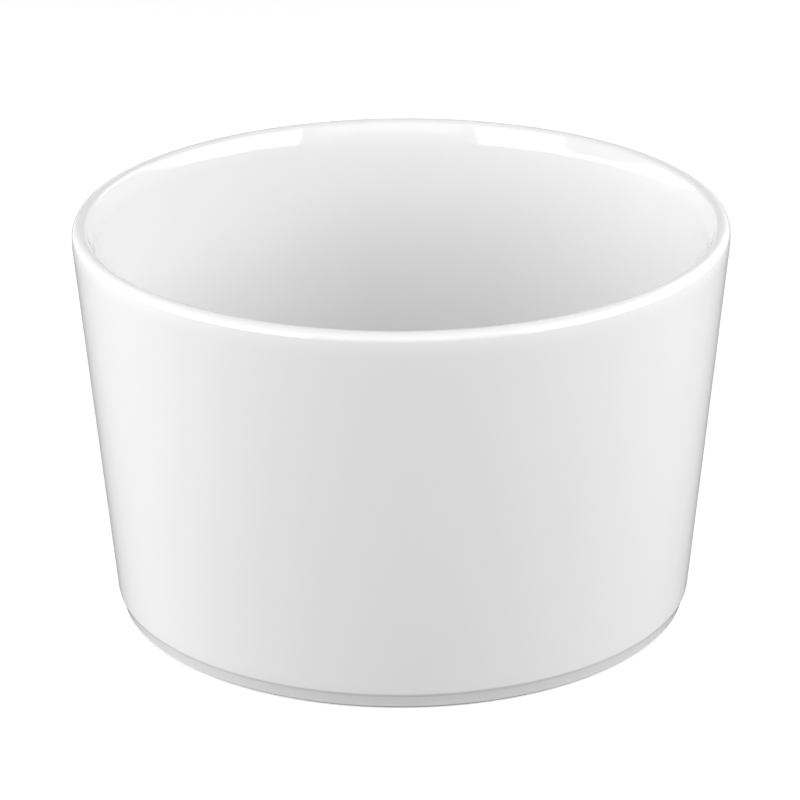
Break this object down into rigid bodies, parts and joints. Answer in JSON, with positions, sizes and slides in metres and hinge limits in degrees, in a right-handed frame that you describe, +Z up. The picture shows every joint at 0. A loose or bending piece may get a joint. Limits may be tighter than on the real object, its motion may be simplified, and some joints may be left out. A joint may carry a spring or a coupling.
{
  "type": "dessert bowl",
  "caption": "Round white porcelain dessert bowl with a straight, slightly flaring wall, a rounded rim and a low set-back foot ring, glazed all over but for the standing face.",
  "frame": {"origin": "middle of the bowl on the plane that its foot ring stands on", "axes": "+Z up along the bowl's axis of symmetry, from the foot to the rim"},
  "size_m": [0.0996, 0.0996, 0.0613],
  "materials": {
    "bare_porcelain": "matte",
    "white_glaze": "polished"
  },
  "bodies": {
    "root": {"porcelain_body": "bare_porcelain", "glaze_coat": "white_glaze", "base_glaze": "white_glaze"}
  },
  "joints": []
}
